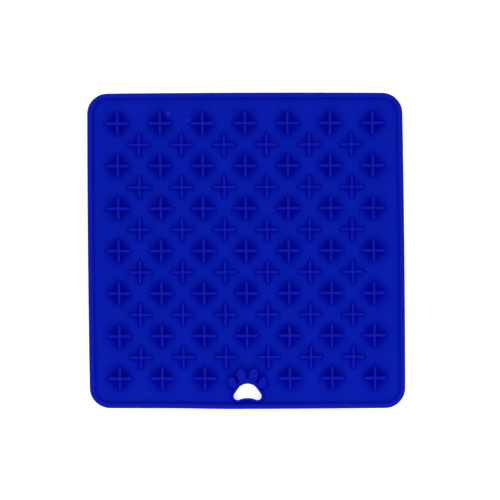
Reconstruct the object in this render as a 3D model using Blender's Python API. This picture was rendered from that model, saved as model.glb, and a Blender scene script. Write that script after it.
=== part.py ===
"""Lick mat, moulded in one piece from soft silicone rubber.

A square tray with a low rim and a flat underside. Cross-shaped nubs in two heights stand on its floor, and
a paw stands by the front edge: four raised toes, and a main pad that is cut right through to hang the mat by.
Metres, +Z up. The origin is in the middle of the underside, and the paw is towards -Y.
"""

import math

import bmesh
import bpy

# Tray: a square with rounded corners, whose sides stand out a little in their middles
SIDE = 0.2004
SIDE_BOW = 0.00036
CORNER_RADIUS = 0.013
FLOOR_TOP = 0.0020
RIM_TOP = 0.0034
RIM_WIDTH = 0.0027
RIM_DRAFT = 0.0005
RIM_ROUND = 0.0007
UNDERSIDE_ROUND = 0.0005
CORNER_STEPS = 6
SIDE_STEPS = 8
RIM_STEPS = 2

# Nubs: tall crosses on a square grid, and a low cross in the middle of each square of it
NUB_PITCH = 0.027
NUB_ROWS = 7
NUB_REACH = 0.00725
NUB_HALF_WIDTH = 0.00078
NUB_DRAFT = 0.00042
TALL_NUB = 0.0040
LOW_NUB = 0.0020
TIP_STEPS = 3

# Paw: the toes are ovals that lean outwards, given for the right-hand side as centre, width, length and lean
TOES = (
    (0.00385, -0.0795, 0.0061, 0.0082, math.radians(11)),
    (0.0095, -0.0837, 0.0050, 0.0073, math.radians(22)),
)
TOE_HEIGHT = 0.0040
TOE_DRAFT = 0.0004
TOE_ROUND = 0.0005
TOE_STEPS = 16

# Paw's main pad: a crown arc over two lobe arcs, with a hollow arc between the lobes at the bottom
CROWN_Y = -0.09165
CROWN_RADIUS = 0.0073
LOBE_X = 0.0063
LOBE_Y = -0.0923
LOBE_RADIUS = 0.0025
HOLLOW_RADIUS = 0.01376
CROWN_STEPS = 10
LOBE_STEPS = 8
HOLLOW_STEPS = 5
LIP_WIDTH = 0.0012
LIP_HEIGHT = 0.0012
LIP_DRAFT = 0.0003

# What is raised starts this far down in the floor, and the cutter runs this far past both faces
OVERLAP = 0.0008

# As it lies, the soft mat is slightly askew, and the left half of its front edge is drawn in
SKEW = 0.0034
DRAWN_IN = 0.0005
DRAWN_IN_START = -0.010
DRAWN_IN_RUN = 0.040
FRONT_START = -0.078
FRONT_RUN = 0.020

BLUE = (0.0035, 0.0130, 0.3900, 1.0)
ROUGHNESS = 0.5
SILICONE_IOR = 1.41
SMOOTH_ANGLE = math.radians(35)


def ease(share):
    """A smooth step from 0 to 1."""
    share = min(max(share, 0.0), 1.0)
    return share * share * (3.0 - 2.0 * share)


def as_it_lies(x, y):
    """The place of a point of the square design on the mat as it lies."""
    left = ease((DRAWN_IN_START - x) / DRAWN_IN_RUN)
    front = ease((FRONT_START - y) / FRONT_RUN)
    return x - SKEW * y, y - SKEW * x + DRAWN_IN * left * front


def arc(x, y, radius, start, end, steps):
    """Points on an arc about (x, y), both ends included. It runs clockwise where end is less than start."""
    angles = [start + (end - start) * step / steps for step in range(steps + 1)]
    return [(x + radius * math.cos(angle), y + radius * math.sin(angle)) for angle in angles]


def turned(points, angle):
    """The points turned about the origin."""
    c, s = math.cos(angle), math.sin(angle)
    return [(x * c - y * s, x * s + y * c) for x, y in points]


def tray_outline(inset):
    """The tray's outline, moved inwards by inset."""
    half = SIDE / 2 - SIDE_BOW - inset
    radius = CORNER_RADIUS - inset
    straight = half - radius
    quarter = []
    for step in range(1, SIDE_STEPS):
        along = 2.0 * step / SIDE_STEPS - 1.0
        quarter.append((half + SIDE_BOW * (1.0 - along * along), along * straight))
    quarter += arc(straight, straight, radius, 0.0, math.pi / 2, CORNER_STEPS)
    outline = []
    for side in range(4):
        outline += turned(quarter, side * math.pi / 2)
    return outline


def cross_outline(grow):
    """A cross with rounded tips, with its walls moved outwards by grow."""
    half_width = NUB_HALF_WIDTH + grow
    tip = arc(NUB_REACH - NUB_HALF_WIDTH, 0.0, half_width, -math.pi / 2, math.pi / 2, TIP_STEPS)
    outline = []
    for arm in range(4):
        outline += turned(tip + [(half_width, half_width)], arm * math.pi / 2)
    return outline


def oval(x, y, width, length, lean):
    """An oval about (x, y), whose far end leans towards +X by lean."""
    around = arc(0.0, 0.0, 1.0, 0.0, 2 * math.pi, TOE_STEPS)[:-1]
    leaning = turned([(px * width / 2, py * length / 2) for px, py in around], -lean)
    return [(x + px, y + py) for px, py in leaning]


def pad_outline(grow):
    """The outline of the paw's main pad, moved outwards by grow."""
    apart = math.hypot(LOBE_X, CROWN_Y - LOBE_Y)
    slope = math.atan2(LOBE_Y - CROWN_Y, LOBE_X)
    shoulder = slope + math.acos((CROWN_RADIUS - LOBE_RADIUS) / apart)
    reach = HOLLOW_RADIUS + LOBE_RADIUS
    hollow_y = LOBE_Y - math.sqrt(reach**2 - LOBE_X**2)
    foot = math.acos(LOBE_X / reach)
    outline = arc(0.0, CROWN_Y, CROWN_RADIUS + grow, shoulder, math.pi - shoulder, CROWN_STEPS)
    outline += arc(-LOBE_X, LOBE_Y, LOBE_RADIUS + grow, math.pi - shoulder, 2 * math.pi - foot, LOBE_STEPS)
    outline += arc(0.0, hollow_y, HOLLOW_RADIUS - grow, math.pi - foot, foot, HOLLOW_STEPS)[1:-1]
    outline += arc(LOBE_X, LOBE_Y, LOBE_RADIUS + grow, math.pi + foot, 2 * math.pi + shoulder, LOBE_STEPS)
    return outline


def loft(bm, sections):
    """Adds a closed solid through (outline, height) sections, from the lowest one up and round."""
    loops = []
    for outline, height in sections:
        loops.append([bm.verts.new((*as_it_lies(x, y), height)) for x, y in outline])
    for low, high in zip(loops, loops[1:]):
        for i, corner in enumerate(low):
            j = (i + 1) % len(low)
            bm.faces.new((corner, low[j], high[j], high[i]))
    bm.faces.new(list(reversed(loops[0])))
    bm.faces.new(loops[-1])


def moved(outline, x, y):
    """The outline moved by (x, y)."""
    return [(px + x, py + y) for px, py in outline]


def drafted(bm, outline_at, height, draft, edge=0.0):
    """Adds a form that stands on the floor, narrows upwards by draft and may have its top edge taken off."""
    top = FLOOR_TOP + height
    slope = draft / height
    sections = [(outline_at(draft + slope * OVERLAP), FLOOR_TOP - OVERLAP)]
    if edge:
        sections.append((outline_at(slope * edge), top - edge))
    sections.append((outline_at(-edge), top))
    loft(bm, sections)


def add_tray(bm):
    """The floor and the rim, from the underside up the outside, over the rim and down to the floor."""
    section = [(UNDERSIDE_ROUND, 0.0), (0.0, UNDERSIDE_ROUND)]
    section += arc(RIM_ROUND, RIM_TOP - RIM_ROUND, RIM_ROUND, math.pi, math.pi / 2, RIM_STEPS)
    section += [(RIM_WIDTH, RIM_TOP), (RIM_WIDTH + RIM_DRAFT, FLOOR_TOP)]
    loft(bm, [(tray_outline(inset), height) for inset, height in section])


def add_nubs(bm):
    """Tall crosses on the grid, but for the place of the paw, and low crosses between them."""
    middle = (NUB_ROWS - 1) / 2
    paw_place = (middle, 0)
    for rows, shift, height in ((NUB_ROWS, 0.0, TALL_NUB), (NUB_ROWS - 1, 0.5, LOW_NUB)):
        for row in range(rows):
            for column in range(rows):
                if (column + shift, row + shift) == paw_place:
                    continue
                x = (column + shift - middle) * NUB_PITCH
                y = (row + shift - middle) * NUB_PITCH
                drafted(bm, lambda grow: moved(cross_outline(grow), x, y), height, NUB_DRAFT)


def add_toes(bm):
    for side in (-1, 1):
        for x, y, width, length, lean in TOES:
            drafted(
                bm,
                lambda grow: oval(side * x, y, width + 2 * grow, length + 2 * grow, side * lean),
                TOE_HEIGHT,
                TOE_DRAFT,
                TOE_ROUND,
            )


def add_lip(bm):
    """The low lip round the hole."""
    drafted(bm, lambda grow: pad_outline(LIP_WIDTH + grow), LIP_HEIGHT, LIP_DRAFT)


def add_hole(bm):
    """The cutter for the main pad."""
    past = FLOOR_TOP + LIP_HEIGHT + OVERLAP
    loft(bm, [(pad_outline(0.0), -OVERLAP), (pad_outline(0.0), past)])


def silicone():
    """Moulded silicone rubber in royal blue, matt."""
    material = bpy.data.materials.new("silicone_rubber")
    material.use_nodes = True
    shader = material.node_tree.nodes["Principled BSDF"]
    shader.inputs["Base Color"].default_value = BLUE
    shader.inputs["Roughness"].default_value = ROUGHNESS
    shader.inputs["Metallic"].default_value = 0.0
    shader.inputs["IOR"].default_value = SILICONE_IOR
    material.diffuse_color = BLUE
    return material


def add_object(name, builder, material=None):
    """One object from the solids that the builder adds."""
    bm = bmesh.new()
    builder(bm)
    mesh = bpy.data.meshes.new(name)
    bm.to_mesh(mesh)
    bm.free()
    obj = bpy.data.objects.new(name, mesh)
    bpy.context.scene.collection.objects.link(obj)
    if material:
        mesh.materials.append(material)
    return obj


def combine(body, tool, operation):
    """Joins the tool to the body, or cuts it out of it, and removes the tool."""
    boolean = body.modifiers.new(tool.name, "BOOLEAN")
    boolean.operation = operation
    boolean.solver = "EXACT"
    boolean.object = tool
    evaluated = body.evaluated_get(bpy.context.evaluated_depsgraph_get())
    mesh = bpy.data.meshes.new_from_object(evaluated)
    body.modifiers.clear()
    body.data = mesh
    bpy.data.objects.remove(tool, do_unlink=True)


def main():
    for obj in list(bpy.data.objects):
        bpy.data.objects.remove(obj, do_unlink=True)
    mat = add_object("mat", add_tray, silicone())
    combine(mat, add_object("nubs", add_nubs), "UNION")
    combine(mat, add_object("toes", add_toes), "UNION")
    combine(mat, add_object("hole_lip", add_lip), "UNION")
    combine(mat, add_object("hang_hole", add_hole), "DIFFERENCE")
    mat.data.name = mat.name
    mat.data.shade_smooth()
    mat.data.set_sharp_from_angle(angle=SMOOTH_ANGLE)


main()
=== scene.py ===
"""A square lick mat, moulded in one piece from royal blue silicone rubber, and its stage.

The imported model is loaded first, as the frame that everything goes by. One continuous moulding then stands
for its plain solid: a tray with a rounded rim, cross-shaped nubs in two heights and a paw with a hang hole,
with the rounded edges and filleted feet that a moulding has. Metres, +Z up, the paw towards -Y.
"""

import math

import bmesh
import bpy
from bpy.props import FloatProperty, FloatVectorProperty, IntProperty, PointerProperty
from mathutils import Matrix, Vector


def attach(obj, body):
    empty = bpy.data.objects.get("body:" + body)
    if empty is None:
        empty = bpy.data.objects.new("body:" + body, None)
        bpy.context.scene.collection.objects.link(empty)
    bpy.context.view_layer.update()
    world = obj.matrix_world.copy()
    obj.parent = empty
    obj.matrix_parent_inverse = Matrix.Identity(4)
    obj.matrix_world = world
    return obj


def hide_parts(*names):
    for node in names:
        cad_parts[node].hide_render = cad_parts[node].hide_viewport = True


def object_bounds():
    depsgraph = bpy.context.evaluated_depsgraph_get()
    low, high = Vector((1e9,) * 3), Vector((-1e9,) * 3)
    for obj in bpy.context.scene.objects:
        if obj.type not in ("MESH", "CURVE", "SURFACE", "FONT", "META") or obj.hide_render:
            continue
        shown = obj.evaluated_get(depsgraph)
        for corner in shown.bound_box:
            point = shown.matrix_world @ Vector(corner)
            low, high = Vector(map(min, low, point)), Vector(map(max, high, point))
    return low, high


bl_info = {
    "name": "Lick Mat",
    "version": (1, 0, 0),
    "blender": (4, 5, 0),
    "location": "3D View > Sidebar > Lick Mat",
    "description": "Moulds a silicone lick mat round its packed model and sets its stage",
    "category": "Add Mesh",
}

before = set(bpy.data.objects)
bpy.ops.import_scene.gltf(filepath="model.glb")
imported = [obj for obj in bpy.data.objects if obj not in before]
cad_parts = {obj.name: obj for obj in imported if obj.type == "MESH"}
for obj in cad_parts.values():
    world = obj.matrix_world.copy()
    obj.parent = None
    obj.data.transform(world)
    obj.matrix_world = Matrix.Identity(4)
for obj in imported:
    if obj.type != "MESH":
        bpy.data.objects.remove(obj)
CAD_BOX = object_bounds()
MAT_TOP = CAD_BOX[1].z
MM = 0.001

# Steps of the curves. A loop round a nub is repeated 84 times, so it is kept short.
CORNER_STEPS = 18
SIDE_STEPS = 24
TIP_STEPS = 8
ARMPIT_STEPS = 3
TOE_STEPS = 48
CROWN_STEPS = 28
LOBE_STEPS = 18
HOLLOW_STEPS = 14
FILLET_STEPS = 4
ROUND_STEPS = 4

# The paw's toes on its right: an inner and an outer one. The left ones mirror them.
TOES = (
    {"x": 3.8 * MM, "y": -79.35 * MM, "width": 6.0 * MM, "length": 8.4 * MM, "lean": math.radians(11)},
    {"x": 9.5 * MM, "y": -83.85 * MM, "width": 4.9 * MM, "length": 7.0 * MM, "lean": math.radians(22)},
)

# How the soft mat lies: slightly askew, with the left half of its front edge drawn in
SKEW = 0.0034
DRAWN_IN = 0.5 * MM
DRAWN_IN_START = -10 * MM
DRAWN_IN_RUN = 40 * MM
FRONT_START = -78 * MM
FRONT_RUN = 20 * MM

# The fillet at a foot ends a little before it is level, and is sunk so that it still dips into the floor.
# Raised solids start OVERLAP down in the floor, and the hole's cutter runs that far past both faces.
FILLET_END = math.radians(262)
FOOT_SINK = 0.01 * MM
OVERLAP = 0.8 * MM

# The hole's rounded edges end just short of level, this far round from upright
HOLE_EDGE_TURN = math.radians(80)

# A toe's top slopes down over this width to the level middle of its dish
DISH_RUN = 1.2 * MM

# Faces that meet more steeply than this keep a sharp edge
SHARP_ANGLE = math.radians(50)

# Painted shade and sheen: spots where less than the first share of the sky is open get all the painted shade
# of the hollows, and spots open from the second share get the paler painted sheen. The painted sheen and
# shade of raised faces starts at the first height above the floor, and is full from the second.
OPEN_SHARES = (0.65, 0.97)
RAISED_SHEEN_HEIGHTS = (0.6 * MM, 1.9 * MM)

# The rubber's refractive index, how deep the mould's grain is, and the size of patches with more or less wear
SILICONE_IOR = 1.41
GRAIN_DEPTH = 0.03 * MM
WEAR_SIZE = 9 * MM

# Faint smudges of lint on the rubber: where, how long and wide, turned how far, and how strong
SMUDGES = (
    {"x": -49.2 * MM, "y": 87.6 * MM, "length": 4.4 * MM, "width": 3.0 * MM, "turn": -25, "strength": 0.1},
    {"x": -36.0 * MM, "y": 83.4 * MM, "length": 4.8 * MM, "width": 2.0 * MM, "turn": -8, "strength": 0.06},
)

# The stage: round lamps face the mat, each as far off and as wide as given here. The floor reaches well past
# them.
LAMPS = (
    {"name": "back_right", "azimuth": 52, "elevation": 24, "distance": 0.6, "width": 0.35, "power": 1.12},
    {"name": "back_left", "azimuth": 128, "elevation": 24, "distance": 0.6, "width": 0.35, "power": 1.25},
    {"name": "front", "azimuth": 270, "elevation": 24, "distance": 0.47, "width": 0.28, "power": 1.33},
    {"name": "front_right", "azimuth": 315, "elevation": 20, "distance": 0.65, "width": 0.38, "power": 0.4},
    {"name": "right", "azimuth": 0, "elevation": 38, "distance": 0.65, "width": 0.38, "power": 1.22},
    {"name": "left", "azimuth": 180, "elevation": 38, "distance": 0.65, "width": 0.38, "power": 1.1},
    {"name": "overhead", "azimuth": 0, "elevation": 90, "distance": 1.2, "width": 0.7, "power": 1.0},
)
FLOOR_HALF = 4.0
FLOOR_BELOW = 0.3 * MM
SENSOR = 36.0


def linear(code):
    """The linear RGB of an sRGB hex colour."""
    channels = [int(code[i : i + 2], 16) / 255 for i in (0, 2, 4)]
    return [c / 12.92 if c <= 0.04045 else ((c + 0.055) / 1.055) ** 2.4 for c in channels]


class TraySizes(bpy.types.PropertyGroup):
    """The floor and the rim."""

    side: FloatProperty(
        name="Side", description="Side of the square, at its corners", default=200.4 * MM, unit="LENGTH"
    )
    bow: FloatProperty(
        name="Bow", description="How far a side stands out in its middle", default=0.36 * MM, unit="LENGTH"
    )
    corner: FloatProperty(
        name="Corner Radius", description="Radius of the tray's corners", default=13 * MM, unit="LENGTH"
    )
    floor: FloatProperty(
        name="Floor", description="Thickness of the floor", default=2.0 * MM, unit="LENGTH"
    )
    rim_top: FloatProperty(
        name="Rim Top", description="Height of the rim above the underside", default=3.6 * MM, unit="LENGTH"
    )
    rim_width: FloatProperty(
        name="Rim Width", description="Width of the rim at its top", default=3.1 * MM, unit="LENGTH"
    )
    rim_draft: FloatProperty(
        name="Rim Draft", description="How much the rim widens to its foot", default=0.5 * MM, unit="LENGTH"
    )
    outer_round: FloatProperty(
        name="Outer Round", description="Radius of the rim's outer edge", default=1.2 * MM, unit="LENGTH"
    )
    inner_round: FloatProperty(
        name="Inner Round", description="Radius of the rim's inner edge", default=0.8 * MM, unit="LENGTH"
    )
    underside_round: FloatProperty(
        name="Underside Round", description="Radius of the lower edge", default=0.4 * MM, unit="LENGTH"
    )
    fillet: FloatProperty(
        name="Fillet", description="Fillet between the rim and the floor", default=0.25 * MM, unit="LENGTH"
    )


class NubSizes(bpy.types.PropertyGroup):
    """The cross-shaped nubs."""

    pitch: FloatProperty(
        name="Pitch", description="Spacing of the tall nubs", default=27 * MM, unit="LENGTH"
    )
    rows: IntProperty(name="Rows", description="Tall nubs along a side", default=7, min=2)
    reach: FloatProperty(
        name="Reach", description="Length of an arm from the middle", default=7.35 * MM, unit="LENGTH"
    )
    half_width: FloatProperty(
        name="Half Width", description="Half the width of an arm at its root", default=0.76 * MM,
        unit="LENGTH",
    )
    tip: FloatProperty(
        name="Tip", description="Half the width of an arm at its rounded tip", default=0.86 * MM,
        unit="LENGTH",
    )
    draft: FloatProperty(
        name="Draft", description="How much a wall leans out to its foot", default=0.42 * MM, unit="LENGTH"
    )
    tall: FloatProperty(
        name="Tall", description="Height of a tall nub above the floor", default=MAT_TOP - 2 * MM,
        unit="LENGTH",
    )
    low: FloatProperty(
        name="Low", description="Height of a low nub above the floor", default=2.0 * MM, unit="LENGTH"
    )
    edge: FloatProperty(
        name="Edge", description="Radius of the top edge", default=0.64 * MM, unit="LENGTH"
    )
    armpit: FloatProperty(
        name="Armpit", description="Radius in the corners between arms", default=0.3 * MM, unit="LENGTH"
    )
    fillet: FloatProperty(
        name="Fillet", description="Fillet at the foot", default=0.3 * MM, unit="LENGTH"
    )


class PawSizes(bpy.types.PropertyGroup):
    """The toes, the hang hole and its lip."""

    toe_height: FloatProperty(
        name="Toe Height", description="Height of a toe above the floor", default=3.5 * MM, unit="LENGTH"
    )
    toe_draft: FloatProperty(
        name="Toe Draft", description="How much a toe widens to its foot", default=0.4 * MM, unit="LENGTH"
    )
    toe_edge: FloatProperty(
        name="Toe Edge", description="Radius of a toe's top edge", default=0.4 * MM, unit="LENGTH"
    )
    toe_dish: FloatProperty(
        name="Toe Dish", description="How far a toe's top is dished", default=0.6 * MM, unit="LENGTH"
    )
    crown_y: FloatProperty(
        name="Crown Place", description="Middle of the pad's crown arc", default=-91.75 * MM, unit="LENGTH"
    )
    crown: FloatProperty(
        name="Crown Radius", description="Radius of the pad's crown arc", default=7.3 * MM, unit="LENGTH"
    )
    lobe_x: FloatProperty(
        name="Lobe Spread", description="Middle of a lobe arc, from the middle", default=6.3 * MM,
        unit="LENGTH",
    )
    lobe_y: FloatProperty(
        name="Lobe Place", description="Middle of the lobe arcs", default=-92.3 * MM, unit="LENGTH"
    )
    lobe: FloatProperty(
        name="Lobe Radius", description="Radius of the lobe arcs", default=2.5 * MM, unit="LENGTH"
    )
    hollow: FloatProperty(
        name="Hollow Radius", description="Radius of the arc between the lobes", default=13.76 * MM,
        unit="LENGTH",
    )
    lip_width: FloatProperty(
        name="Lip Width", description="Width of the lip round the hole", default=1.2 * MM, unit="LENGTH"
    )
    lip_height: FloatProperty(
        name="Lip Height", description="Height of the lip above the floor", default=1.2 * MM, unit="LENGTH"
    )
    crown_lip: FloatProperty(
        name="Crown Lip", description="Height of the lip at the crown, between the toes", default=2.8 * MM,
        unit="LENGTH",
    )
    crown_web: FloatProperty(
        name="Crown Web", description="How far the lip spreads in between the toes at the crown",
        default=2.1 * MM, unit="LENGTH",
    )
    lip_draft: FloatProperty(
        name="Lip Draft", description="How much the lip widens to its foot", default=0.3 * MM, unit="LENGTH"
    )
    lip_edge: FloatProperty(
        name="Lip Edge", description="Radius of the lip's edges", default=0.35 * MM, unit="LENGTH"
    )
    fillet: FloatProperty(
        name="Fillet", description="Fillet at the foot of toes and lip", default=0.35 * MM, unit="LENGTH"
    )


class SiliconeLook(bpy.types.PropertyGroup):
    """The finish of the moulded silicone rubber."""

    # Painted shade: the colour put into hollows and crevices where ambient occlusion finds shelter
    painted_shade_colour: FloatVectorProperty(
        name="Deep", description="Colour in the crevices, where no bloom forms", default=linear("000297"),
        subtype="COLOR", size=3,
    )
    body: FloatVectorProperty(
        name="Body", description="Colour of the rubber in the open", default=linear("051597"),
        subtype="COLOR", size=3,
    )
    pale: FloatVectorProperty(
        name="Pale", description="Colour where the pigment is thinner", default=linear("07189a"),
        subtype="COLOR", size=3,
    )
    # Painted sheen and shade: raised faces are drawn paler in red and green and darker in blue than the
    # rubber in the open
    raised_sheen: FloatVectorProperty(
        name="Tops", description="Colour of raised faces, with a bloom of dust and handling",
        default=linear("0d1594"), subtype="COLOR", size=3,
    )
    lint: FloatVectorProperty(
        name="Lint", description="Colour of a smudge of lint on the rubber", default=linear("6a70ff"),
        subtype="COLOR", size=3,
    )
    # How far round a spot the ambient occlusion of the painted shade looks for shelter
    shade_reach: FloatProperty(
        name="Crevice", description="How far round a spot its shelter is felt", default=10 * MM, unit="LENGTH"
    )
    roughness: FloatProperty(
        name="Roughness", description="Roughness of the rubber", default=0.55, subtype="FACTOR", min=0, max=1
    )
    grain: FloatProperty(
        name="Grain", description="Size of the mould's spark-eroded grain", default=0.35 * MM, unit="LENGTH"
    )
    cloud: FloatProperty(
        name="Cloud", description="Size of the faint clouds in the pigment", default=14 * MM, unit="LENGTH"
    )


class StageLook(bpy.types.PropertyGroup):
    """The floor, the lights and the camera."""

    floor: FloatVectorProperty(
        name="Floor", description="Colour of the floor", default=linear("f4f4f4"), subtype="COLOR", size=3
    )
    glow: FloatProperty(name="Glow", description="Light that comes up through the floor", default=0.5, min=0)
    power: FloatProperty(name="Power", description="Power of the lights together", default=1.0, min=0)
    sky: FloatProperty(name="Sky", description="Light from all round", default=0.4, min=0)
    distance: FloatProperty(
        name="Distance", description="From the mat to the camera", default=6.0, unit="LENGTH"
    )
    tilt: FloatProperty(
        name="Tilt", description="Lean of the camera from straight above towards the front",
        default=math.radians(1.0), subtype="ANGLE",
    )
    roll: FloatProperty(
        name="Roll", description="Turn of the camera about its view", default=math.radians(-0.384),
        subtype="ANGLE",
    )
    field: FloatProperty(
        name="Field", description="Width of the view at the mat", default=317.5 * MM, unit="LENGTH"
    )
    aim: FloatVectorProperty(
        name="Aim", description="Place in the middle of the view",
        default=(2.44 * MM, 0.43 * MM, 5 * MM), subtype="TRANSLATION", size=3,
    )


# ---------------------------------------------------------------- outlines and lofts


def ease(share):
    """A smooth step from 0 to 1."""
    share = min(max(share, 0.0), 1.0)
    return share * share * (3.0 - 2.0 * share)


def as_it_lies(x, y):
    """The place of a point of the square design on the mat as it lies."""
    left = ease((DRAWN_IN_START - x) / DRAWN_IN_RUN)
    front = ease((FRONT_START - y) / FRONT_RUN)
    return x - SKEW * y, y - SKEW * x + DRAWN_IN * left * front


def arc(x, y, radius, start, end, steps):
    """Points on an arc about (x, y), both ends included. It runs clockwise where end is less than start."""
    angles = [start + (end - start) * step / steps for step in range(steps + 1)]
    return [(x + radius * math.cos(angle), y + radius * math.sin(angle)) for angle in angles]


def turned(points, angle):
    """The points turned about the origin."""
    c, s = math.cos(angle), math.sin(angle)
    return [(x * c - y * s, x * s + y * c) for x, y in points]


def tray_outline(sizes, inset):
    """The tray's outline, moved inwards by inset."""
    half = sizes.side / 2 - inset
    radius = sizes.corner - inset
    straight = half - radius
    quarter = []
    for step in range(1, SIDE_STEPS):
        along = 2.0 * step / SIDE_STEPS - 1.0
        quarter.append((half + sizes.bow * (1.0 - along * along), along * straight))
    quarter += arc(straight, straight, radius, 0.0, math.pi / 2, CORNER_STEPS)
    outline = []
    for side in range(4):
        outline += turned(quarter, side * math.pi / 2)
    return outline


def cross_outline(sizes, grow):
    """A cross with rounded armpits and arms that widen a little to rounded tips, moved outwards by grow."""
    half_width = sizes.half_width + grow
    armpit = max(sizes.armpit - grow, 0.05 * MM)
    tip = arc(sizes.reach - sizes.tip, 0.0, sizes.tip + grow, -math.pi / 2, math.pi / 2, TIP_STEPS)
    middle = half_width + armpit
    inner = arc(middle, middle, armpit, 1.5 * math.pi, math.pi, ARMPIT_STEPS)
    outline = []
    for arm in range(4):
        outline += turned(tip + inner, arm * math.pi / 2)
    return outline


def oval(toe, side, grow):
    """The outline of a toe on one side of the paw, moved outwards by grow."""
    around = arc(0.0, 0.0, 1.0, 0.0, 2 * math.pi, TOE_STEPS)[:-1]
    across, along = toe["width"] / 2 + grow, toe["length"] / 2 + grow
    leaning = turned([(x * across, y * along) for x, y in around], -side * toe["lean"])
    return [(side * toe["x"] + x, toe["y"] + y) for x, y in leaning]


def pad_outline(sizes, grow):
    """The outline of the paw's main pad, moved outwards by grow: crown, left lobe, hollow, right lobe."""
    apart = math.hypot(sizes.lobe_x, sizes.crown_y - sizes.lobe_y)
    slope = math.atan2(sizes.lobe_y - sizes.crown_y, sizes.lobe_x)
    shoulder = slope + math.acos((sizes.crown - sizes.lobe) / apart)
    reach = sizes.hollow + sizes.lobe
    hollow_y = sizes.lobe_y - math.sqrt(reach**2 - sizes.lobe_x**2)
    foot = math.acos(sizes.lobe_x / reach)
    lobe = sizes.lobe + grow
    outline = arc(0.0, sizes.crown_y, sizes.crown + grow, shoulder, math.pi - shoulder, CROWN_STEPS)
    outline += arc(-sizes.lobe_x, sizes.lobe_y, lobe, math.pi - shoulder, 2 * math.pi - foot, LOBE_STEPS)
    outline += arc(0.0, hollow_y, sizes.hollow - grow, math.pi - foot, foot, HOLLOW_STEPS)[1:-1]
    outline += arc(sizes.lobe_x, sizes.lobe_y, lobe, math.pi + foot, 2 * math.pi + shoulder, LOBE_STEPS)
    return outline


def loft(bm, outline_at, section):
    """Adds a closed solid whose wall follows section, a list of (grow, height) from the lowest upwards."""
    loops = []
    for grow, height in section:
        loops.append([bm.verts.new((x, y, height)) for x, y in outline_at(grow)])
    for low, high in zip(loops, loops[1:]):
        for i, corner in enumerate(low):
            j = (i + 1) % len(low)
            bm.faces.new((corner, low[j], high[j], high[i]))
    bm.faces.new(list(reversed(loops[0])))
    bm.faces.new(loops[-1])


def lift_to_crown(obj, sizes, floor, spread=0.0):
    """Raises the lip, or the cutter that rounds its edge, towards the crown, and spreads it among the toes.

    The foot spreads twice as far as the top, so the lip slopes down between the toes.
    """
    run = sizes.crown_y + sizes.crown - sizes.lobe_y
    gain = sizes.crown_lip / sizes.lip_height - 1.0
    for vertex in obj.data.vertices:
        share = ease((vertex.co.y - sizes.lobe_y) / run)
        rise = max(vertex.co.z - floor, 0.0)
        vertex.co.z += rise * gain * share
        vertex.co.y += spread * share * (2.0 - rise / sizes.lip_height)


def raised_section(floor, height, draft, edge, fillet):
    """The wall of a form on the floor: up its foot's fillet and its leaning wall, and over its top edge."""
    foot = arc(draft + fillet, floor + fillet - FOOT_SINK, fillet, FILLET_END, math.pi, FILLET_STEPS)
    top = arc(-edge, floor + height - edge, edge, 0.0, math.pi / 2, ROUND_STEPS)
    return [(foot[0][0], floor - OVERLAP)] + foot + top


def new_object(name, builder, material=None):
    """One object from the solids that the builder adds."""
    bm = bmesh.new()
    builder(bm)
    mesh = bpy.data.meshes.new(name)
    bm.to_mesh(mesh)
    bm.free()
    obj = bpy.data.objects.new(name, mesh)
    bpy.context.scene.collection.objects.link(obj)
    if material:
        mesh.materials.append(material)
    return obj


def settled(obj):
    """The object's mesh with its modifiers' work in it."""
    evaluated = obj.evaluated_get(bpy.context.evaluated_depsgraph_get())
    mesh = bpy.data.meshes.new_from_object(evaluated)
    obj.modifiers.clear()
    obj.data = mesh
    mesh.name = obj.name
    return obj


def combine(body, tool, operation):
    """Joins the tool to the body, or cuts it out of it, and removes the tool."""
    boolean = body.modifiers.new(tool.name, "BOOLEAN")
    boolean.operation = operation
    boolean.solver = "EXACT"
    boolean.object = tool
    settled(body)
    bpy.data.objects.remove(tool, do_unlink=True)


def add_node(tree, kind, sockets=None, **settings):
    """A node with its settings, whose sockets are given a value or linked from another node's output."""
    node = tree.nodes.new(kind)
    for name, value in settings.items():
        setattr(node, name, value)
    for name, value in (sockets or {}).items():
        if isinstance(value, bpy.types.NodeSocket):
            tree.links.new(value, node.inputs[name])
        else:
            node.inputs[name].default_value = value
    return node


# ---------------------------------------------------------------- material


def smudge_mask(tree, place, row):
    """The share of lint at a place on the rubber, for one soft-edged oval smudge."""
    moved = add_node(
        tree, "ShaderNodeVectorMath", {0: place, 1: (row["x"], row["y"], 0.0)}, operation="SUBTRACT"
    ).outputs["Vector"]
    fitted = add_node(
        tree,
        "ShaderNodeMapping",
        {
            "Vector": moved,
            "Rotation": (0.0, 0.0, -math.radians(row["turn"])),
            "Scale": (2 / row["length"], 2 / row["width"], 0.0),
        },
    ).outputs["Vector"]
    away = add_node(tree, "ShaderNodeVectorMath", {0: fitted}, operation="LENGTH").outputs["Value"]
    return add_node(
        tree,
        "ShaderNodeMapRange",
        {"Value": away, "From Min": 1.0, "From Max": 0.2, "To Max": row["strength"]},
        interpolation_type="SMOOTHSTEP",
    ).outputs["Result"]


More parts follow.
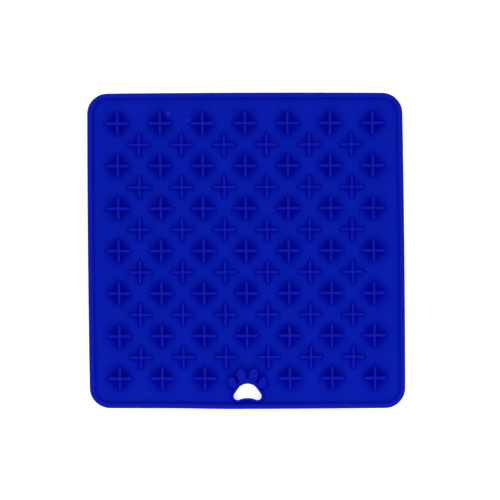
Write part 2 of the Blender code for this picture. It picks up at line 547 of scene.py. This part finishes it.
def silicone_rubber(look, floor):
    """Silicone rubber, compression moulded and pigmented royal blue.

    It is matt, and its weak sheen takes the pigment's blue. Shade and sheen are painted into its colour:
    where ambient occlusion finds shelter it is drawn a darker, purer blue as painted shade, and in the open
    it is paler, as painted sheen. Raised faces carry more painted sheen and shade, paler in red and green and
    darker in blue. The mould's fine eroded grain breaks up its soft highlights.
    """
    material = bpy.data.materials.new("moulded_silicone_rubber")
    material.use_nodes = True
    tree = material.node_tree
    tree.nodes.clear()
    place = add_node(tree, "ShaderNodeTexCoord").outputs["Object"]
    clouds = add_node(
        tree,
        "ShaderNodeTexNoise",
        {"Vector": place, "Scale": 1 / look.cloud, "Detail": 3.0, "Roughness": 0.55},
    )
    pigment = add_node(
        tree,
        "ShaderNodeMix",
        {"Factor": clouds.outputs["Fac"], "A": (*look.body, 1), "B": (*look.pale, 1)},
        data_type="RGBA",
    )
    # Painted sheen and shade on raised faces, growing with the height above the floor
    height = add_node(tree, "ShaderNodeSeparateXYZ", {"Vector": place}).outputs["Z"]
    raised_share = add_node(
        tree,
        "ShaderNodeMapRange",
        {
            "Value": height,
            "From Min": floor + RAISED_SHEEN_HEIGHTS[0],
            "From Max": floor + RAISED_SHEEN_HEIGHTS[1],
        },
        interpolation_type="SMOOTHSTEP",
    ).outputs["Result"]
    sheened_colour = add_node(
        tree,
        "ShaderNodeMix",
        {"Factor": raised_share, "A": pigment.outputs["Result"], "B": (*look.raised_sheen, 1)},
        data_type="RGBA",
    )
    # Painted shade and sheen: ambient occlusion mixes the darker colour of the hollows into sheltered spots
    # and the paler colour into open ones
    openness = add_node(
        tree, "ShaderNodeAmbientOcclusion", {"Distance": look.shade_reach}, samples=16, only_local=True
    ).outputs["AO"]
    painted_sheen = add_node(
        tree,
        "ShaderNodeMapRange",
        {"Value": openness, "From Min": OPEN_SHARES[0], "From Max": OPEN_SHARES[1]},
    ).outputs["Result"]
    colour = add_node(
        tree,
        "ShaderNodeMix",
        {"Factor": painted_sheen, "A": (*look.painted_shade_colour, 1), "B": sheened_colour.outputs["Result"]},
        data_type="RGBA",
    )
    surface = colour.outputs["Result"]
    for row in SMUDGES:
        surface = add_node(
            tree,
            "ShaderNodeMix",
            {"Factor": smudge_mask(tree, place, row), "A": surface, "B": (*look.lint, 1)},
            data_type="RGBA",
        ).outputs["Result"]
    wear = add_node(
        tree,
        "ShaderNodeTexNoise",
        {"Vector": place, "Scale": 1 / WEAR_SIZE, "Detail": 4.0, "Roughness": 0.6},
    )
    roughness = add_node(
        tree,
        "ShaderNodeMapRange",
        {
            "Value": wear.outputs["Fac"],
            "From Min": 0.3,
            "From Max": 0.7,
            "To Min": look.roughness - 0.06,
            "To Max": look.roughness + 0.08,
        },
    )
    grain = add_node(
        tree,
        "ShaderNodeTexNoise",
        {"Vector": place, "Scale": 1 / look.grain, "Detail": 2.0, "Roughness": 0.5},
    )
    bump = add_node(
        tree, "ShaderNodeBump", {"Height": grain.outputs["Fac"], "Strength": 0.25, "Distance": GRAIN_DEPTH}
    )
    shader = add_node(
        tree,
        "ShaderNodeBsdfPrincipled",
        {
            "Base Color": surface,
            "Roughness": roughness.outputs["Result"],
            "Normal": bump.outputs["Normal"],
            "IOR": SILICONE_IOR,
            "Specular IOR Level": 0.12,
            "Specular Tint": (0.1, 0.3, 1.0, 1.0),
        },
    )
    add_node(tree, "ShaderNodeOutputMaterial", {"Surface": shader.outputs["BSDF"]})
    return material


def opal_board(colour, glow):
    """An opal acrylic board, matt, pale and barely uneven in tone, and lit softly from below."""
    material = bpy.data.materials.new("opal_acrylic_board")
    material.use_nodes = True
    tree = material.node_tree
    tree.nodes.clear()
    place = add_node(tree, "ShaderNodeTexCoord").outputs["Object"]
    tone = add_node(tree, "ShaderNodeTexNoise", {"Vector": place, "Scale": 3.0, "Detail": 2.0})
    shade = add_node(
        tree,
        "ShaderNodeMix",
        {"Factor": tone.outputs["Fac"], "A": (*colour, 1), "B": (*[0.985 * c for c in colour], 1)},
        data_type="RGBA",
    )
    shader = add_node(
        tree,
        "ShaderNodeBsdfPrincipled",
        {
            "Base Color": shade.outputs["Result"],
            "Roughness": 0.9,
            "Specular IOR Level": 0.0,
            "Emission Color": (1.0, 1.0, 1.0, 1.0),
            "Emission Strength": glow,
        },
    )
    add_node(tree, "ShaderNodeOutputMaterial", {"Surface": shader.outputs["BSDF"]})
    return material


# ---------------------------------------------------------------- nubs on their lattice


def nub_lattice():
    """The node tree that stands tall nubs on a square lattice, and low ones in the middles of its squares."""
    tree = bpy.data.node_groups.new("nub_lattice", "GeometryNodeTree")
    socket = tree.interface.new_socket
    socket("Geometry", in_out="OUTPUT", socket_type="NodeSocketGeometry")
    socket("Pitch", in_out="INPUT", socket_type="NodeSocketFloat")
    socket("Rows", in_out="INPUT", socket_type="NodeSocketInt")
    socket("Tall Nub", in_out="INPUT", socket_type="NodeSocketObject")
    socket("Low Nub", in_out="INPUT", socket_type="NodeSocketObject")
    socket("Paw Place", in_out="INPUT", socket_type="NodeSocketVector")
    socket("Rubber", in_out="INPUT", socket_type="NodeSocketMaterial")
    given = add_node(tree, "NodeGroupInput").outputs
    fewer = add_node(tree, "ShaderNodeMath", {0: given["Rows"], 1: 1.0}, operation="SUBTRACT").outputs[0]
    away = add_node(
        tree,
        "ShaderNodeVectorMath",
        {0: add_node(tree, "GeometryNodeInputPosition").outputs[0], 1: given["Paw Place"]},
        operation="DISTANCE",
    ).outputs["Value"]
    clearance = add_node(tree, "ShaderNodeMath", {0: given["Pitch"], 1: 0.5}, operation="MULTIPLY").outputs[0]
    in_the_way = add_node(
        tree, "FunctionNodeCompare", {"A": away, "B": clearance}, data_type="FLOAT", operation="LESS_THAN"
    ).outputs["Result"]
    joined = add_node(tree, "GeometryNodeJoinGeometry")
    for count, nub in ((given["Rows"], given["Tall Nub"]), (fewer, given["Low Nub"])):
        steps = add_node(tree, "ShaderNodeMath", {0: count, 1: 1.0}, operation="SUBTRACT").outputs[0]
        span = add_node(
            tree, "ShaderNodeMath", {0: steps, 1: given["Pitch"]}, operation="MULTIPLY"
        ).outputs[0]
        grid = add_node(
            tree,
            "GeometryNodeMeshGrid",
            {"Size X": span, "Size Y": span, "Vertices X": count, "Vertices Y": count},
        )
        kept = add_node(
            tree, "GeometryNodeDeleteGeometry", {"Geometry": grid.outputs["Mesh"], "Selection": in_the_way}
        )
        shape = add_node(tree, "GeometryNodeObjectInfo", {"Object": nub}).outputs["Geometry"]
        stood = add_node(
            tree, "GeometryNodeInstanceOnPoints", {"Points": kept.outputs["Geometry"], "Instance": shape}
        )
        tree.links.new(stood.outputs["Instances"], joined.inputs["Geometry"])
    real = add_node(tree, "GeometryNodeRealizeInstances", {"Geometry": joined.outputs["Geometry"]})
    rubber = add_node(
        tree, "GeometryNodeSetMaterial", {"Geometry": real.outputs["Geometry"], "Material": given["Rubber"]}
    )
    add_node(tree, "NodeGroupOutput", {"Geometry": rubber.outputs["Geometry"]})
    return tree


def give_inputs(modifier, values):
    """Sets a node modifier's inputs by their names, through the sockets' identifiers."""
    for item in modifier.node_group.interface.items_tree:
        if item.in_out == "INPUT" and item.name in values:
            modifier[item.identifier] = values[item.name]


# ---------------------------------------------------------------- operators


class LICKMAT_OT_tray(bpy.types.Operator):
    """Mould the floor and its rounded rim"""

    bl_idname = "lickmat.tray"
    bl_label = "Tray"

    def execute(self, context):
        sizes = context.scene.lickmat_tray
        rubber = silicone_rubber(context.scene.lickmat_silicone, sizes.floor)
        lower, outer, inner = sizes.underside_round, sizes.outer_round, sizes.inner_round
        section = arc(lower, lower, lower, 1.5 * math.pi, math.pi, ROUND_STEPS)
        section += arc(outer, sizes.rim_top - outer, outer, math.pi, math.pi / 2, 2 * ROUND_STEPS)
        section += arc(sizes.rim_width - inner, sizes.rim_top - inner, inner, math.pi / 2, 0.0, ROUND_STEPS)
        foot = sizes.rim_width + sizes.rim_draft
        fillet = sizes.fillet
        section += arc(foot + fillet, sizes.floor + fillet, fillet, math.pi, 1.5 * math.pi, FILLET_STEPS)
        new_object(
            "silicone_mat", lambda bm: loft(bm, lambda inset: tray_outline(sizes, inset), section), rubber
        )
        return {"FINISHED"}


class LICKMAT_OT_nubs(bpy.types.Operator):
    """Stand the cross-shaped nubs on the floor, but for the place of the paw"""

    bl_idname = "lickmat.nubs"
    bl_label = "Nubs"

    def execute(self, context):
        sizes = context.scene.lickmat_nubs
        floor = context.scene.lickmat_tray.floor
        body = bpy.data.objects["silicone_mat"]
        shapes = {}
        for name, height in (("Tall Nub", sizes.tall), ("Low Nub", sizes.low)):
            section = raised_section(floor, height, sizes.draft, sizes.edge, sizes.fillet)
            shapes[name] = new_object(
                name, lambda bm: loft(bm, lambda grow: cross_outline(sizes, grow), section)
            )
        nubs = new_object("nubs", lambda bm: None)
        lattice = nubs.modifiers.new("Lattice", "NODES")
        lattice.node_group = nub_lattice()
        front = -sizes.pitch * (sizes.rows - 1) / 2
        give_inputs(
            lattice,
            {
                "Pitch": sizes.pitch,
                "Rows": sizes.rows,
                "Paw Place": (0.0, front, 0.0),
                "Rubber": body.data.materials[0],
                **shapes,
            },
        )
        settled(nubs)
        for shape in shapes.values():
            bpy.data.objects.remove(shape, do_unlink=True)
        combine(body, nubs, "UNION")
        return {"FINISHED"}


class LICKMAT_OT_paw(bpy.types.Operator):
    """Raise the paw's toes and the lip, and cut the hang hole"""

    bl_idname = "lickmat.paw"
    bl_label = "Paw"

    def execute(self, context):
        sizes = context.scene.lickmat_paw
        floor = context.scene.lickmat_tray.floor
        body = bpy.data.objects["silicone_mat"]
        toe_section = raised_section(floor, sizes.toe_height, sizes.toe_draft, sizes.toe_edge, sizes.fillet)
        inside = toe_section[-1][0]
        dished = floor + sizes.toe_height - sizes.toe_dish
        for step in range(1, ROUND_STEPS + 1):
            share = step / ROUND_STEPS
            toe_section.append((inside - DISH_RUN * share, dished + sizes.toe_dish * (1 - ease(share))))
        for toe in TOES:
            for side in (-1, 1):
                shape = new_object(
                    "toe", lambda bm: loft(bm, lambda grow: oval(toe, side, grow), toe_section)
                )
                combine(body, shape, "UNION")
        lip_section = raised_section(floor, sizes.lip_height, sizes.lip_draft, sizes.lip_edge, sizes.fillet)
        lip = new_object(
            "lip", lambda bm: loft(bm, lambda grow: pad_outline(sizes, sizes.lip_width + grow), lip_section)
        )
        lift_to_crown(lip, sizes, floor, sizes.crown_web)
        combine(body, lip, "UNION")
        top = floor + sizes.lip_height
        edge = sizes.lip_edge
        below = arc(edge, edge, edge, math.pi + HOLE_EDGE_TURN, math.pi, ROUND_STEPS)
        above = arc(edge, top - edge, edge, math.pi, math.pi - HOLE_EDGE_TURN, ROUND_STEPS)
        section = [(below[0][0], -OVERLAP)] + below + above + [(above[-1][0], top + OVERLAP)]
        hole = new_object("hole", lambda bm: loft(bm, lambda grow: pad_outline(sizes, grow), section))
        lift_to_crown(hole, sizes, floor)
        combine(body, hole, "DIFFERENCE")
        return {"FINISHED"}


class LICKMAT_OT_lay(bpy.types.Operator):
    """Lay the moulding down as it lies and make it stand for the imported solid"""

    bl_idname = "lickmat.lay"
    bl_label = "Lay Down"

    def execute(self, context):
        body = bpy.data.objects["silicone_mat"]
        mesh = body.data
        for vertex in mesh.vertices:
            vertex.co.x, vertex.co.y = as_it_lies(vertex.co.x, vertex.co.y)
        mesh.shade_smooth()
        mesh.set_sharp_from_angle(angle=SHARP_ANGLE)
        normals = body.modifiers.new("Flat Faces", "WEIGHTED_NORMAL")
        normals.keep_sharp = True
        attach(body, "root")
        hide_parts("mat")
        return {"FINISHED"}


class LICKMAT_OT_stage(bpy.types.Operator):
    """Set the floor, the lights and the camera"""

    bl_idname = "lickmat.stage"
    bl_label = "Stage"

    def execute(self, context):
        look = context.scene.lickmat_stage
        around = [(-FLOOR_HALF, -FLOOR_HALF), (FLOOR_HALF, -FLOOR_HALF), (FLOOR_HALF, FLOOR_HALF)]
        around.append((-FLOOR_HALF, FLOOR_HALF))
        floor = new_object(
            "floor",
            lambda bm: bm.faces.new([bm.verts.new((x, y, -FLOOR_BELOW)) for x, y in around]),
            opal_board(look.floor, look.glow),
        )
        set_lights(look)
        set_camera(look)
        context.scene.view_settings.view_transform = "Standard"
        return {"FINISHED"}


def set_lights(look):
    """Soft round lamps about the mat, and an even glow from all round."""
    for row in LAMPS:
        data = bpy.data.lights.new(row["name"], "AREA")
        data.shape = "DISK"
        data.size = row["width"]
        data.energy = row["power"] * look.power
        lamp = bpy.data.objects.new(row["name"], data)
        lamp.visible_camera = False
        bpy.context.scene.collection.objects.link(lamp)
        azimuth, elevation = math.radians(row["azimuth"]), math.radians(row["elevation"])
        level = math.cos(elevation)
        towards = Vector((level * math.cos(azimuth), level * math.sin(azimuth), math.sin(elevation)))
        lamp.location = towards * row["distance"]
        lamp.rotation_euler = (-towards).to_track_quat("-Z", "Y").to_euler()
    world = bpy.data.worlds.new("studio")
    world.use_nodes = True
    bpy.context.scene.world = world
    glow = world.node_tree.nodes["Background"]
    glow.inputs["Color"].default_value = (1.0, 1.0, 1.0, 1.0)
    glow.inputs["Strength"].default_value = look.sky


def set_camera(look):
    """A long lens nearly straight above the mat, with its top towards +Y."""
    data = bpy.data.cameras.new("camera")
    data.sensor_width = SENSOR
    data.lens = SENSOR * look.distance / look.field
    camera = bpy.data.objects.new("camera", data)
    bpy.context.scene.collection.objects.link(camera)
    turn = Matrix.Rotation(look.tilt, 4, "X") @ Matrix.Rotation(look.roll, 4, "Z")
    back = Matrix.Translation((0.0, 0.0, look.distance))
    camera.matrix_world = Matrix.Translation(look.aim) @ turn @ back
    bpy.context.scene.camera = camera


class LICKMAT_PT_panel(bpy.types.Panel):
    """Lists the steps that make the mat and its stage"""

    bl_idname = "LICKMAT_PT_panel"
    bl_label = "Lick Mat"
    bl_space_type = "VIEW_3D"
    bl_region_type = "UI"
    bl_category = "Lick Mat"

    def draw(self, context):
        for groups, operator in STEPS:
            box = self.layout.box()
            for group in groups:
                settings = getattr(context.scene, group)
                for name in settings.bl_rna.properties.keys():
                    if name not in ("name", "rna_type"):
                        box.prop(settings, name)
            box.operator(operator.bl_idname)


GROUPS = {
    "lickmat_tray": TraySizes,
    "lickmat_nubs": NubSizes,
    "lickmat_paw": PawSizes,
    "lickmat_silicone": SiliconeLook,
    "lickmat_stage": StageLook,
}
STEPS = (
    (("lickmat_tray", "lickmat_silicone"), LICKMAT_OT_tray),
    (("lickmat_nubs",), LICKMAT_OT_nubs),
    (("lickmat_paw",), LICKMAT_OT_paw),
    ((), LICKMAT_OT_lay),
    (("lickmat_stage",), LICKMAT_OT_stage),
)
CLASSES = (*GROUPS.values(), *(operator for _, operator in STEPS), LICKMAT_PT_panel)


def register():
    """Adds the classes and their settings to Blender."""
    for cls in CLASSES:
        bpy.utils.register_class(cls)
    for name, group in GROUPS.items():
        setattr(bpy.types.Scene, name, PointerProperty(type=group))


def unregister():
    """Takes the classes and their settings out of Blender."""
    for name in GROUPS:
        delattr(bpy.types.Scene, name)
    for cls in reversed(CLASSES):
        bpy.utils.unregister_class(cls)


def main():
    """Makes the mat and its stage."""
    register()
    bpy.ops.lickmat.tray()
    bpy.ops.lickmat.nubs()
    bpy.ops.lickmat.paw()
    bpy.ops.lickmat.lay()
    bpy.ops.lickmat.stage()


if __name__ == "__main__":
    main()
